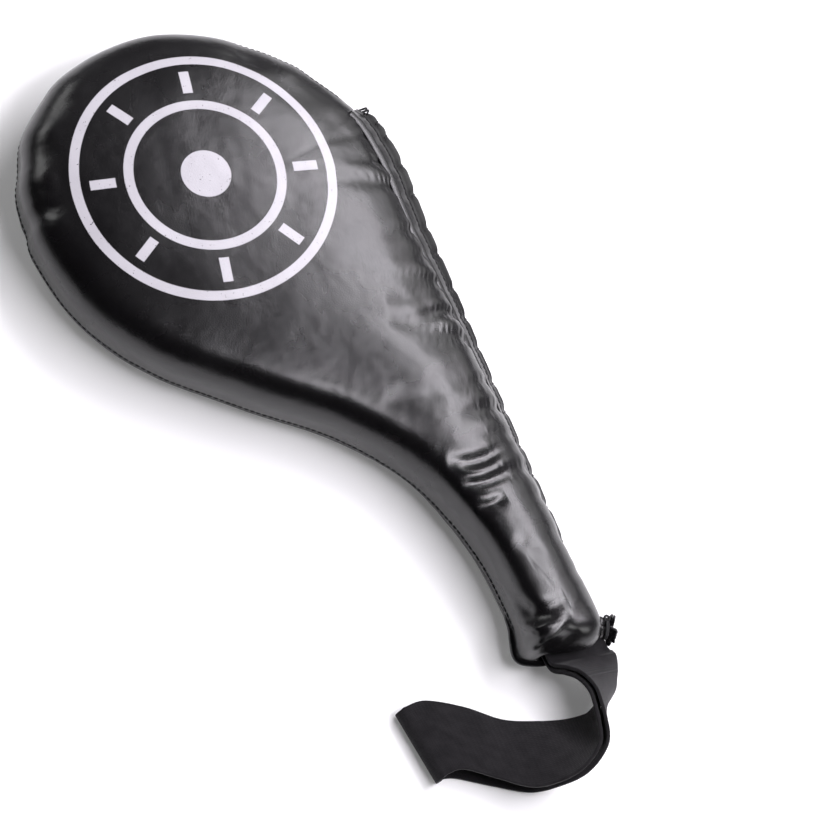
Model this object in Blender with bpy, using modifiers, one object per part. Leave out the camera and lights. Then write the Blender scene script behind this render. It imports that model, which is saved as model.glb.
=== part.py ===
"""Teardrop strike paddle: a padded round head that narrows into a handle with a webbing hand loop.

Frame: metres, the paddle lies on its back face at z = 0, +Z is the normal of the striking face,
+Y runs from the handle to the top of the head, and the origin is under the centre of the head.
The plan shape is slightly bent: the neck leans to +X and the end of the handle to -X.
"""

import bmesh
import bpy
from math import cos, pi, sin, sqrt
from mathutils import Matrix, Vector

MM = 0.001

# Padded body
PAD_THICKNESS = 46 * MM
EDGE_RADIUS = 16 * MM
LEATHER = 1.2 * MM
FIT_GAP = 0.3 * MM
OUTLINE_SAMPLES = 84
FINE_SAMPLES = 840
COVER_STEPS = 5
FOAM_STEPS = 4
# Plan of the body, anticlockwise from the top of the head, in millimetres
OUTLINE_MM = [
    (0, 91), (-46, 81), (-80, 44), (-92, -6), (-83, -52), (-56, -101), (-30, -143),
    (-16, -185), (-17, -232), (-28, -272), (-36, -290), (-16, -306), (-4, -308.5), (5, -300),
    (15, -270), (29, -230), (43, -188), (58, -143), (76, -92), (94, -47), (98, -10), (80, 42),
    (46, 77),
]
# Middle line of the body, from the centre of the head to the end of the handle, in millimetres
SPINE_MM = [(3, -10), (9, -100), (14, -150), (13.5, -190), (6, -230), (-6, -270), (-11, -284)]

# Seam between the two covers: low on the -X side, high on the +X side of the head, and
# down again along the +X side of the handle
SEAM_MIDDLE = PAD_THICKNESS / 2
SEAM_RISE = 12 * MM
SEAM_FULL_REACH = 30 * MM
SEAM_TOP_Y = -60 * MM
SEAM_LOW_Y = -280 * MM
SEAM_LOW_SHARE = -0.6
SEAM_GAP = 0.5 * MM

# Core and foam
BOARD_THICKNESS = 3 * MM
BOARD_INSET = 12 * MM
FOAM_INSET = LEATHER + 0.8 * MM
NECK_CUT_Y = -160 * MM
GRIP_END_Y = -296 * MM
GRIP_INNER_STEP = 5.2 * MM

# Closing lip on the +X side and the threads
LIP_WIDTH = 5.5 * MM
LIP_THICKNESS = 3 * MM
LIP_START = 0.835
LIP_END = 0.545
LIP_ROOT_CLEAR = 0.7 * MM
LIP_STEP = 11 * MM
THREAD_STEP = 9 * MM
THREAD_RADIUS = 0.5 * MM
SIDE_THREAD_RISE = 4 * MM
SIDE_THREAD_START = -0.155
SIDE_THREAD_END = 0.458
LIP_THREAD_MARGIN = 0.004
LIP_THREAD_ACROSS = 0.3 * LIP_WIDTH
SIDE_THREAD_CLEAR = 1.25 * MM
HAND_THREAD_RADIUS = 0.7 * MM
HAND_THREAD_MARGIN = 0.01
HAND_STITCH_PITCH = 22 * MM
HAND_STITCH_RISE = 2 * MM

# Handle mouth, where the strap comes out
MOUTH_CENTRE = Vector((-14.5, -307, 23)) * MM
MOUTH_HEIGHT = 10 * MM
MOUTH_WIDTH = 42 * MM
MOUTH_DEPTH = 40 * MM
HANDLE_END_AXIS = Vector((-0.25, -0.968, 0))
FOLD_SAMPLES = (0.463, 0.497)
FOLD_STEP = 2.5 * MM
# Height and clearance from the cover at the fold's four corners
FOLD_SECTION = [(16 * MM, 1.0 * MM), (16 * MM, 2.8 * MM), (6 * MM, 3.8 * MM), (6 * MM, 2.0 * MM)]

# Webbing
STRAP_THICKNESS = 1.8 * MM
STRAP_WIDTH = 38 * MM
STRAP_END_WIDTH = 32 * MM  # the ends are pinched narrower to enter the handle
STRAP_LAYER_GAP = 1.8 * MM
STRAP_FLEX_GAP = 5 * MM  # bare webbing that bends between the handle and the loop
BAND_COLUMNS = 4
TAIL_OVERLAP_Y = -272 * MM
ANCHOR_START = 24 * MM
ANCHOR_STEP = 4 * MM
ANCHOR_WIDTH = 22 * MM
ANCHOR_ZIGZAGS = 4

# Both edges of the loop's middle surface, in millimetres: the edge that ends lower down
# (nearest -Y), then the other edge. The band comes out flat, turns onto its edge and lies down.
NEAR_STRAP_MM = [
    ((-30, -302.5, 23.5), (1, -313.5, 20.5)),
    ((-26, -308.5, 27), (3.5, -318, 14.5)),
    ((-24.5, -314.5, 31), (3, -323.5, 9)),
    ((-25.5, -322, 34), (-1, -329, 6)),
    ((-29, -329, 36), (-7, -333.5, 4.5)),
]
NEAR_WIDTHS_MM = (33, 36, 38, 38, 38)  # pinched where it leaves the mouth
FAR_STRAP_MM = [
    ((-38, -343, 36), (-22, -336, 4.5)),
    ((-46, -348, 35), (-29, -334, 4)),
    ((-57, -350, 30), (-39, -328, 4)),
    ((-68, -346.5, 23), (-51, -318.5, 4)),
]
# From here the two layers part: the upper layer's edges, then the lower layer's
OPEN_UPPER_MM = [
    ((-78.5, -338, 17.5), (-63, -306, 6)),
    ((-88, -323.5, 14), (-74, -288, 8.2)),
    ((-97, -309.5, 13), (-87, -272.5, 8.8)),
    ((-104, -305.5, 12), (-97, -268, 8.6)),
]
OPEN_LOWER_MM = [
    ((-76, -340.5, 6), (-61, -307.5, 2)),
    ((-88.5, -327, 2.2), (-74, -289, 1.3)),
    ((-99, -313, 1.3), (-87, -273.5, 1.2)),
    ((-104, -307, 1.3), (-97, -268.5, 1.2)),
]
LOOP_END_REACH = 3.9 * MM
LOOP_END_GAP = 0.8 * MM
LOOP_END_AWAY = Vector((-0.985, 0.17, 0))
LOOP_END_STEPS = 6

# Gathered tail at the +X corner of the handle's end
TAIL_BASE = Vector((4.6, -306.2, 25)) * MM
TAIL_AXIS = Vector((0.68, -0.73, 0.05))
TAIL_PROFILE_MM = [(6.0, 6.6), (7.0, 5.6), (5.6, 4.2), (4.4, 3.3), (4.4, 2.5), (5.4, 1.0), (5.0, 0)]
TAIL_TIE_HEIGHT = 2.9 * MM
TAIL_TIE_RADIUS = 5.7 * MM
TAIL_TIE_THICKNESS = 0.6 * MM

COLOURS = {
    "leather": ((0.022, 0.020, 0.024), 0.42),
    "foam": ((0.30, 0.31, 0.33), 0.9),
    "board": ((0.10, 0.10, 0.10), 0.5),
    "thread": ((0.012, 0.012, 0.014), 0.6),
    "webbing": ((0.014, 0.013, 0.015), 0.85),
}


# ---- scene, collections and materials ----

def clear_scene():
    for old in list(bpy.data.objects):
        bpy.data.objects.remove(old, do_unlink=True)


def new_collection(name):
    group = bpy.data.collections.new(name)
    bpy.context.scene.collection.children.link(group)
    return group


def new_material(node_name, kind):
    colour, roughness = COLOURS[kind]
    material = bpy.data.materials.new(node_name)
    material.use_nodes = True
    shader = material.node_tree.nodes["Principled BSDF"]
    shader.inputs["Base Color"].default_value = (*colour, 1)
    shader.inputs["Roughness"].default_value = roughness
    shader.inputs["Metallic"].default_value = 0
    return material


def add_part(name, mesh, kind):
    """Put a finished mesh in the paddle's collection under its node name."""
    part = bpy.data.objects.new(name, mesh)
    part.data.materials.append(new_material(name, kind))
    PARTS.objects.link(part)
    return part


def mesh_from(name, form):
    mesh = bpy.data.meshes.new(name)
    form.to_mesh(mesh)
    form.free()
    return mesh


# ---- plan outline and sections ----

def spline_point(points, place, closed):
    """A point of the Catmull-Rom curve through the points, at a place counted in points."""
    count = len(points)
    low = int(place)
    t = place - low
    picks = []
    for step in (-1, 0, 1, 2):
        index = low + step
        index = index % count if closed else min(max(index, 0), count - 1)
        picks.append(points[index])
    a, b, c, d = picks
    return 0.5 * (2 * b + (c - a) * t + (2 * a - 5 * b + 4 * c - d) * t ** 2
                  + (3 * b - a - 3 * c + d) * t ** 3)


def even_outline(count):
    """The plan outline as evenly spaced points, anticlockwise from the top of the head."""
    knots = [Vector((x, y)) * MM for x, y in OUTLINE_MM]
    fine = [spline_point(knots, i / 20, True) for i in range(20 * len(knots))]
    fine.append(fine[0])
    lengths = [(b - a).length for a, b in zip(fine, fine[1:])]
    step = sum(lengths) / count
    points = []
    walked = 0.0
    for a, b, length in zip(fine, fine[1:], lengths):
        while len(points) < count and walked + length > step * len(points):
            points.append(a.lerp(b, (step * len(points) - walked) / length))
        walked += length
    return points


def spine_point(y):
    """The middle line's point level with y, held at the two ends."""
    spine = [Vector((x, level)) * MM for x, level in SPINE_MM]
    if y >= spine[0].y:
        return spine[0]
    for upper, lower in zip(spine, spine[1:]):
        if y >= lower.y:
            return upper.lerp(lower, (upper.y - y) / (upper.y - lower.y))
    return spine[-1]


def moved_in(point, depth):
    """The plan point moved by depth towards the middle line."""
    inward = (spine_point(point.y) - point).normalized()
    return point + inward * depth


def edge_inset(z, shell=0.0):
    """How far the rounded edge stands back from the outline at height z, a shell's depth inside."""
    radius = EDGE_RADIUS - shell
    over = abs(z - PAD_THICKNESS / 2) - (PAD_THICKNESS / 2 - EDGE_RADIUS)
    if over <= 0:
        return shell
    return shell + radius * (1 - sqrt(max(0.0, 1 - (over / radius) ** 2)))


def seam_height(point):
    """Height of the seam at a plan point: it climbs from the -X side to the +X side."""
    middle = spine_point(point.y)
    reach = (point - middle).length
    across = (point.x - middle.x) / reach * min(1.0, reach / SEAM_FULL_REACH)
    if across > 0:
        down = min(max((SEAM_TOP_Y - point.y) / (SEAM_TOP_Y - SEAM_LOW_Y), 0.0), 1.0)
        across *= 1 + (SEAM_LOW_SHARE - 1) * down * down * (3 - 2 * down)
    return SEAM_MIDDLE + SEAM_RISE * across


def loft(rings, cap_first, cap_last):
    """A bmesh through closed rings of points, ordered from high to low, with outward faces."""
    form = bmesh.new()
    rows = [[form.verts.new(point) for point in ring] for ring in rings]
    for upper, lower in zip(rows, rows[1:]):
        for i in range(len(upper)):
            j = (i + 1) % len(upper)
            form.faces.new((upper[i], lower[i], lower[j], upper[j]))
    if cap_first:
        form.faces.new(rows[0])
    if cap_last:
        form.faces.new(list(reversed(rows[-1])))
    return form


def body_ring(outline, height_of, shell):
    """One ring around the body; height_of gives each plan point its height."""
    ring = []
    for point in outline:
        z = height_of(point)
        flat = moved_in(point, edge_inset(z, shell))
        ring.append(Vector((flat.x, flat.y, z)))
    return ring


# ---- covers, foam and board ----

def cover_rings(outline, face_z, seam_side):
    """Rings of a cover from its flat face down to (or up from) the seam."""
    rings = []
    for k in range(COVER_STEPS + 1):
        turn = pi / 2 * k / COVER_STEPS

        def height(point, turn=turn):
            rim = seam_height(point) + seam_side * SEAM_GAP
            return rim + (face_z - rim) * cos(turn)

        rings.append(body_ring(outline, height, 0.0))
    return rings


def make_cover(name, outline, front):
    if front:
        form = loft(cover_rings(outline, PAD_THICKNESS, 1), True, False)
    else:
        rings = cover_rings(outline, 0.0, -1)
        form = loft(list(reversed(rings)), False, True)
    cover = add_part(name, mesh_from(name, form), "leather")
    shell = cover.modifiers.new("leather", "SOLIDIFY")
    shell.thickness = LEATHER
    shell.offset = -1
    shell.use_even_offset = True
    cut = cover.modifiers.new("mouth", "BOOLEAN")
    cut.operation = "DIFFERENCE"
    cut.solver = "EXACT"
    cut.object = MOUTH_CUTTER
    return cover


def make_mouth_cutter():
    """The slot across the end of the handle, square to the handle's last stretch."""
    form = bmesh.new()
    along = HANDLE_END_AXIS.normalized()
    across = along.cross(Vector((0, 0, 1)))
    turn = Matrix((across, along, Vector((0, 0, -1)))).transposed().to_4x4()
    size = Matrix.Diagonal((MOUTH_WIDTH, MOUTH_DEPTH, MOUTH_HEIGHT, 1))
    bmesh.ops.create_cube(form, size=1, matrix=Matrix.Translation(MOUTH_CENTRE) @ turn @ size)
    bmesh.ops.recalc_face_normals(form, faces=form.faces)
    cutter = bpy.data.objects.new("mouth_cutter", mesh_from("mouth_cutter", form))
    cutter.hide_render = True
    cutter.display_type = "WIRE"
    CUTTERS.objects.link(cutter)
    return cutter


def keep_between(form, low_y, high_y):
    """Cut a solid form to the stretch between two levels of y and close the cuts."""
    for level, direction in ((high_y, 1), (low_y, -1)):
        if level is None:
            continue
        every = form.verts[:] + form.edges[:] + form.faces[:]
        cut = bmesh.ops.bisect_plane(
            form, geom=every, plane_co=(0, level, 0), plane_no=(0, direction, 0),
            clear_outer=True)
        edges = [item for item in cut["geom_cut"] if isinstance(item, bmesh.types.BMEdge)]
        bmesh.ops.holes_fill(form, edges=edges, sides=0)
    bmesh.ops.recalc_face_normals(form, faces=form.faces)


def make_foam(name, outline, inner_z, outer_z, low_y, high_y):
    """Half of the padding, flat towards the board and rounded towards its cover."""
    rings = []
    for k in range(FOAM_STEPS + 1):
        z = inner_z + (outer_z - inner_z) * sin(pi / 2 * k / FOAM_STEPS)
        rings.append(body_ring(outline, lambda point, z=z: z, FOAM_INSET))
    if outer_z > inner_z:
        rings.reverse()
    form = loft(rings, True, True)
    keep_between(form, low_y, high_y)
    return add_part(name, mesh_from(name, form), "foam")


def make_board(outline):
    """The stiff board: the body's plan drawn in, with a tongue down the handle."""
    curve = bpy.data.curves.new("core_board", "CURVE")
    curve.dimensions = "2D"
    curve.fill_mode = "BOTH"
    curve.extrude = BOARD_THICKNESS / 2
    spline = curve.splines.new("POLY")
    spline.points.add(len(outline) - 1)
    for node, point in zip(spline.points, outline):
        flat = moved_in(point, BOARD_INSET)
        node.co = (flat.x, flat.y, 0, 1)
    spline.use_cyclic_u = True
    board = bpy.data.objects.new("core_board", curve)
    board.location = (0, 0, PAD_THICKNESS / 2)
    board.data.materials.append(new_material("core_board", "board"))
    PARTS.objects.link(board)
    return board


# ---- seams and threads ----

def outline_stretch(start, end, spacing):
    """Places and directions along the outline between two shares of its length."""
    fine = even_outline(FINE_SAMPLES)
    length = sum((after - before).length for before, after in zip(fine, fine[1:] + fine[:1]))
    count = max(2, round(length * (end - start) / spacing))
    frames = []
    for k in range(count + 1):
        index = round((start + (end - start) * k / count) * FINE_SAMPLES) % FINE_SAMPLES
        point = fine[index]
        tangent = (fine[(index + 4) % FINE_SAMPLES] - fine[index - 4]).normalized()
        outward = Vector((tangent.y, -tangent.x))
        frames.append((point, tangent, outward))
    return frames


def surface_point(point, outward, z, clear):
    """A point outside the cover at height z, clear of it by the given distance."""
    flat = moved_in(point, edge_inset(z)) + outward * clear
    return Vector((flat.x, flat.y, z))


def make_lip(name):
    """The two seam allowances, turned out and sewn together down the +X side."""
    frames = outline_stretch(LIP_END, LIP_START, LIP_STEP)
    form = bmesh.new()
    rows = []
    for point, _, outward in frames:
        z = seam_height(point)
        root = surface_point(point, outward, z, LIP_ROOT_CLEAR)
        tip = root + Vector((outward.x, outward.y, 0)) * LIP_WIDTH
        half = Vector((0, 0, LIP_THICKNESS / 2))
        rows.append([form.verts.new(p) for p in (root + half, tip + half, tip - half, root - half)])
    for first, second in zip(rows, rows[1:]):
        for i in range(4):
            j = (i + 1) % 4
            form.faces.new((first[i], first[j], second[j], second[i]))
    form.faces.new(list(reversed(rows[0])))
    form.faces.new(rows[-1])
    bmesh.ops.recalc_face_normals(form, faces=form.faces)
    return add_part(name, mesh_from(name, form), "leather")


def make_thread(name, points, radius):
    """A sewn thread as one closed tube through the points."""
    curve = bpy.data.curves.new(name, "CURVE")
    curve.dimensions = "3D"
    curve.bevel_depth = radius
    curve.bevel_resolution = 1
    curve.use_fill_caps = True
    spline = curve.splines.new("POLY")
    spline.points.add(len(points) - 1)
    for node, point in zip(spline.points, points):
        node.co = (*point, 1)
    tube = bpy.data.objects.new(name, curve)
    tube.data.materials.append(new_material(name, "thread"))
    PARTS.objects.link(tube)
    return tube


def make_lip_thread(name):
    """The machine thread along the lip's upper ply."""
    points = []
    first = LIP_END + LIP_THREAD_MARGIN
    last = LIP_START - LIP_THREAD_MARGIN
    for point, _, outward in outline_stretch(first, last, THREAD_STEP):
        z = seam_height(point)
        root = surface_point(point, outward, z, LIP_ROOT_CLEAR + LIP_THREAD_ACROSS)
        points.append(root + Vector((0, 0, LIP_THICKNESS / 2 + 2 * FIT_GAP + THREAD_RADIUS)))
    return make_thread(name, points, THREAD_RADIUS)


def make_hand_thread(name):
    """The heavier hand thread that laces the lip's edge shut over the stuffing."""
    points = []
    first = LIP_END + HAND_THREAD_MARGIN
    last = LIP_START - HAND_THREAD_MARGIN
    stretch = outline_stretch(first, last, HAND_STITCH_PITCH / 2)
    for k, (point, _, outward) in enumerate(stretch):
        z = seam_height(point)
        clear = LIP_ROOT_CLEAR + LIP_WIDTH + 2 * FIT_GAP + HAND_THREAD_RADIUS
        edge = surface_point(point, outward, z, clear)
        side = 1 if k % 2 else -1
        points.append(edge + Vector((0, 0, side * HAND_STITCH_RISE)))
    return make_thread(name, points, HAND_THREAD_RADIUS)


def make_side_thread(name):
    """The machine thread beside the seam on the -X side, on the front cover."""
    points = []
    for point, _, outward in outline_stretch(SIDE_THREAD_START, SIDE_THREAD_END, THREAD_STEP):
        z = seam_height(point) + SIDE_THREAD_RISE
        points.append(surface_point(point, outward, z, SIDE_THREAD_CLEAR))
    return make_thread(name, points, THREAD_RADIUS)


def make_end_fold(name):
    """The cover's leather folded back on itself below the mouth, at the -X corner."""
    frames = outline_stretch(*FOLD_SAMPLES, FOLD_STEP)
    form = bmesh.new()
    rows = []
    for point, _, outward in frames:
        row = []
        for z, clear in FOLD_SECTION:
            row.append(form.verts.new(surface_point(point, outward, z, clear)))
        rows.append(row)
    for first, second in zip(rows, rows[1:]):
        for i in range(4):
            j = (i + 1) % 4
            form.faces.new((first[i], first[j], second[j], second[i]))
    form.faces.new(list(reversed(rows[0])))
    form.faces.new(rows[-1])
    bmesh.ops.recalc_face_normals(form, faces=form.faces)
    return add_part(name, mesh_from(name, form), "leather")


# ---- gathered tail ----

def make_tail(name):
    """The surplus leather drawn together at the corner of the handle, a turned bulb."""
    mesh = bpy.data.meshes.new(name)
    points = [(radius * MM, 0, height * MM) for radius, height in TAIL_PROFILE_MM]
    points = [(0, 0, points[0][2])] + points + [(0, 0, 0)]
    edges = [(i, i + 1) for i in range(len(points) - 1)]
    mesh.from_pydata(points, edges, [])
    tail = add_part(name, mesh, "leather")
    turned = tail.modifiers.new("turn", "SCREW")
    turned.axis = "Z"
    turned.steps = 20
    turned.render_steps = 20
    turned.use_merge_vertices = True
    turned.merge_threshold = 0.00001
    tail.location = TAIL_BASE
    tail.rotation_euler = TAIL_AXIS.to_track_quat("Z", "Y").to_euler()
    return tail


def make_tail_binding(name):
    """The cord wound round the tail's waist."""
    bpy.ops.mesh.primitive_torus_add(
        major_radius=TAIL_TIE_RADIUS, minor_radius=TAIL_TIE_THICKNESS,
        major_segments=20, minor_segments=8)
    ring = bpy.context.object
    ring.name = name
    ring.data.name = name
    for group in list(ring.users_collection):
        group.objects.unlink(ring)
    PARTS.objects.link(ring)
    ring.data.materials.append(new_material(name, "thread"))
    ring.location = TAIL_BASE + TAIL_AXIS.normalized() * TAIL_TIE_HEIGHT
    ring.rotation_euler = TAIL_AXIS.to_track_quat("Z", "Y").to_euler()
    return ring


# ---- webbing ----

def smooth_pairs(pairs, steps):
    """More edge pairs, on smooth curves through the given ones."""
    lows = [low for low, _ in pairs]
    highs = [high for _, high in pairs]
    count = (len(pairs) - 1) * steps
    places = [min(k / steps, len(pairs) - 1 - 1e-6) for k in range(count + 1)]
    return [(spline_point(lows, at, False), spline_point(highs, at, False)) for at in places]


def band_grid(pairs):
    """Points over the band: a row for each edge pair, evenly spaced from edge to edge."""
    shares = [column / BAND_COLUMNS for column in range(BAND_COLUMNS + 1)]
    return [[low.lerp(high, share) for share in shares] for low, high in pairs]


def band_normals(grid):
    """The unit normal at each point of a band's grid."""
    normals = []
    for i, row in enumerate(grid):
        before = grid[max(i - 1, 0)]
        after = grid[min(i + 1, len(grid) - 1)]
        across = row[-1] - row[0]
        normals.append([across.cross(b - a).normalized() for a, b in zip(before, after)])
    return normals


def band_solid(name, pairs):
    """A flat band of webbing whose middle surface runs through pairs of edge points."""
    grid = band_grid(pairs)
    normals = band_normals(grid)
    form = bmesh.new()
    loops = []
    for row, slopes in zip(grid, normals):
        lift = [slope * STRAP_THICKNESS / 2 for slope in slopes]
        top = [point + up for point, up in zip(row, lift)]
        under = [point - up for point, up in zip(row, lift)]
        loops.append([form.verts.new(point) for point in top + under[::-1]])
    for first, second in zip(loops, loops[1:]):
        for i in range(len(first)):
            j = (i + 1) % len(first)
            form.faces.new((first[i], first[j], second[j], second[i]))
    form.faces.new(list(reversed(loops[0])))
    form.faces.new(loops[-1])
    bmesh.ops.recalc_face_normals(form, faces=form.faces)
    return add_part(name, mesh_from(name, form), "webbing")


def moved_pairs(pairs, offset):
    """The edge pairs moved along the band's normals."""
    normals = band_normals(band_grid(pairs))
    moved = []
    for (low, high), slopes in zip(pairs, normals):
        moved.append((low + slopes[0] * offset, high + slopes[-1] * offset))
    return moved


def edge_pairs(points_mm, widths=None):
    """Edge pairs in metres, each set to the webbing's width there about its middle."""
    widths = widths or [STRAP_WIDTH] * len(points_mm)
    pairs = []
    for (low, high), width in zip(points_mm, widths):
        low = Vector(low) * MM
        high = Vector(high) * MM
        middle = (low + high) / 2
        half = (high - low).normalized() * width / 2
        pairs.append((middle - half, middle + half))
    return pairs


def make_strap():
    """The loop's two layers, from the handle to where the webbing turns back on itself."""
    widths = [width * MM for width in NEAR_WIDTHS_MM]
    near = smooth_pairs(edge_pairs(NEAR_STRAP_MM, widths), 3)
    far = edge_pairs(FAR_STRAP_MM)
    upper = edge_pairs(OPEN_UPPER_MM)
    lower = edge_pairs(OPEN_LOWER_MM)
    offset = (STRAP_THICKNESS + STRAP_LAYER_GAP) / 2
    band_solid("strap_near_inner", moved_pairs(near, offset))
    band_solid("strap_near_outer", moved_pairs(near, -offset))
    band_solid("strap_far_upper", smooth_pairs(moved_pairs(far, offset) + upper, 3))
    band_solid("strap_far_lower", smooth_pairs(moved_pairs(far, -offset) + lower, 3))
    make_loop_end("strap_loop_end", upper[-1], lower[-1])


def make_loop_end(name, upper, lower):
    """The half turn that joins the two layers at the end of the loop."""
    pairs = []
    for k in range(LOOP_END_STEPS + 1):
        turn = pi * k / LOOP_END_STEPS
        pair = []
        for top, bottom in zip(upper, lower):
            middle = (top + bottom) / 2
            reach = (top - bottom).length / 2
            rise = (top - bottom).normalized()
            depth = LOOP_END_GAP + sin(turn) * max(reach, LOOP_END_REACH)
            pair.append(middle + rise * reach * cos(turn) + LOOP_END_AWAY * depth)
        pairs.append(tuple(pair))
    return band_solid(name, pairs)


def make_tail_layer(name, z):
    """One end of the webbing inside the handle, lying along the board's tongue."""
    along = HANDLE_END_AXIS.normalized()
    across = along.cross(Vector((0, 0, 1)))
    length = (MOUTH_CENTRE.y - TAIL_OVERLAP_Y) / along.y
    end = Vector((MOUTH_CENTRE.x, MOUTH_CENTRE.y, z)) - along * STRAP_FLEX_GAP
    form = bmesh.new()
    turn = Matrix((across, along, Vector((0, 0, -1)))).transposed().to_4x4()
    size = Matrix.Diagonal((STRAP_END_WIDTH, length, STRAP_THICKNESS, 1))
    place = Matrix.Translation(end - along * length / 2)
    bmesh.ops.create_cube(form, size=1, matrix=place @ turn @ size)
    bmesh.ops.recalc_face_normals(form, faces=form.faces)
    return add_part(name, mesh_from(name, form), "webbing")


def make_anchor_thread(name, side):
    """The zigzag that holds a webbing end to the board's tongue, on its outer face."""
    along = HANDLE_END_AXIS.normalized()
    across = along.cross(Vector((0, 0, 1)))
    centre = Vector((MOUTH_CENTRE.x, MOUTH_CENTRE.y, MIDDLE + side * ANCHOR_HEIGHT))
    points = []
    for k in range(ANCHOR_ZIGZAGS + 1):
        swing = ANCHOR_WIDTH / 2 if k % 2 else -ANCHOR_WIDTH / 2
        back = ANCHOR_START + k * ANCHOR_STEP
        points.append(centre - along * back + across * swing)
    return make_thread(name, points, THREAD_RADIUS)


TAIL_HEIGHT = BOARD_THICKNESS / 2 + FIT_GAP + STRAP_THICKNESS / 2
ANCHOR_HEIGHT = TAIL_HEIGHT + STRAP_THICKNESS / 2 + FIT_GAP + THREAD_RADIUS

clear_scene()
PARTS = new_collection("strike_paddle")
CUTTERS = new_collection("cutters")
MOUTH_CUTTER = make_mouth_cutter()
BODY_OUTLINE = even_outline(OUTLINE_SAMPLES)
MIDDLE = PAD_THICKNESS / 2
HALF_BOARD = BOARD_THICKNESS / 2 + FIT_GAP
FOAM_TOP = PAD_THICKNESS - FOAM_INSET

make_cover("front_cover", BODY_OUTLINE, True)
make_cover("back_cover", BODY_OUTLINE, False)
make_foam("front_foam", BODY_OUTLINE, MIDDLE + HALF_BOARD, FOAM_TOP, NECK_CUT_Y, None)
make_foam("back_foam", BODY_OUTLINE, MIDDLE - HALF_BOARD, FOAM_INSET, NECK_CUT_Y, None)
make_foam("grip_foam_front", BODY_OUTLINE, MIDDLE + GRIP_INNER_STEP, FOAM_TOP,
          GRIP_END_Y, NECK_CUT_Y - FIT_GAP)
make_foam("grip_foam_back", BODY_OUTLINE, MIDDLE - GRIP_INNER_STEP, FOAM_INSET,
          GRIP_END_Y, NECK_CUT_Y - FIT_GAP)
make_board(BODY_OUTLINE)
make_lip("closing_lip")
make_lip_thread("lip_thread")
make_hand_thread("hand_thread")
make_side_thread("side_thread")
make_end_fold("end_fold")
make_tail("gathered_tail")
make_tail_binding("tail_binding")
make_tail_layer("strap_end_upper", MIDDLE + TAIL_HEIGHT)
make_tail_layer("strap_end_lower", MIDDLE - TAIL_HEIGHT)
make_anchor_thread("anchor_thread_upper", 1)
make_anchor_thread("anchor_thread_lower", -1)
make_strap()
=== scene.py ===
"""Looks for the padded strike paddle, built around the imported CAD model.

Everything is in metres in the CAD frame: the paddle lies on its back at z = 0, +Z is the normal of
the striking face, +Y runs from the handle to the top of the head.
"""
import math
import random
from functools import cache

import bpy
import numpy as np
from mathutils import Matrix, Vector, noise
from mathutils.bvhtree import BVHTree
from mathutils.kdtree import KDTree


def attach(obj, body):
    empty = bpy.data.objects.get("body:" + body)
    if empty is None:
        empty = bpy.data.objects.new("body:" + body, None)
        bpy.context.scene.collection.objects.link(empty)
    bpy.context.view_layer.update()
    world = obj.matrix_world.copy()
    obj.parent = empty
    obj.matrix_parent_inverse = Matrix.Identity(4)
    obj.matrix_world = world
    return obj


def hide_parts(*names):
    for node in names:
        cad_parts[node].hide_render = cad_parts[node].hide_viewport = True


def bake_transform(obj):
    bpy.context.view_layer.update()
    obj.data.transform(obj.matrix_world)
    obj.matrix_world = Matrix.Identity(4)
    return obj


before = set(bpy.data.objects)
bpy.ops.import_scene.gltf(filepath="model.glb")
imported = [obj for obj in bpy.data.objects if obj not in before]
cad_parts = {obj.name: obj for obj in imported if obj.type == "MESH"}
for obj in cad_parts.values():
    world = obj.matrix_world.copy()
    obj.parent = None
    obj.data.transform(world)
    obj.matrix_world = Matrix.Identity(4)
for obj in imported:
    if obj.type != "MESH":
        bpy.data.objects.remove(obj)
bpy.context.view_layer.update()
MM = 0.001

# ---- the plan and section of the padded body, as in the CAD model ----

THICKNESS = 46 * MM
EDGE_RADIUS = 16 * MM
OUTLINE_MM = [
    (0, 91), (-46, 81), (-80, 44), (-92, -6), (-83, -52), (-56, -101), (-30, -143),
    (-16, -185), (-17, -232), (-28, -272), (-36, -290), (-16, -306), (-4, -308.5), (5, -300),
    (15, -270), (29, -230), (43, -188), (58, -143), (76, -92), (94, -47), (98, -10), (80, 42),
    (46, 77),
]
SPINE_MM = [(3, -10), (9, -100), (14, -150), (13.5, -190), (6, -230), (-6, -270), (-11, -284)]
SEAM_MIDDLE = THICKNESS / 2
SEAM_RISE = 12 * MM
SEAM_FULL_REACH = 30 * MM
SEAM_TOP_Y = -60 * MM
SEAM_LOW_Y = -280 * MM
SEAM_LOW_SHARE = -0.6
LIP_START = 0.835
LIP_END = 0.545
LIP_WIDTH = 5.6 * MM
HAND_STITCH_PITCH = 18 * MM
SIDE_THREAD_RISE = 4 * MM
SIDE_THREAD_START = -0.155
SIDE_THREAD_END = 0.458
MOUTH_CENTRE = np.array(Vector((-14.5, -307, 23)) * MM)
MOUTH_ALONG = np.array(Vector((-0.25, -0.968, 0)).normalized())
MOUTH_ACROSS = np.cross(MOUTH_ALONG, (0, 0, 1))

# ---- webbing, as in the CAD model: both edges of the loop's middle surface ----

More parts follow.
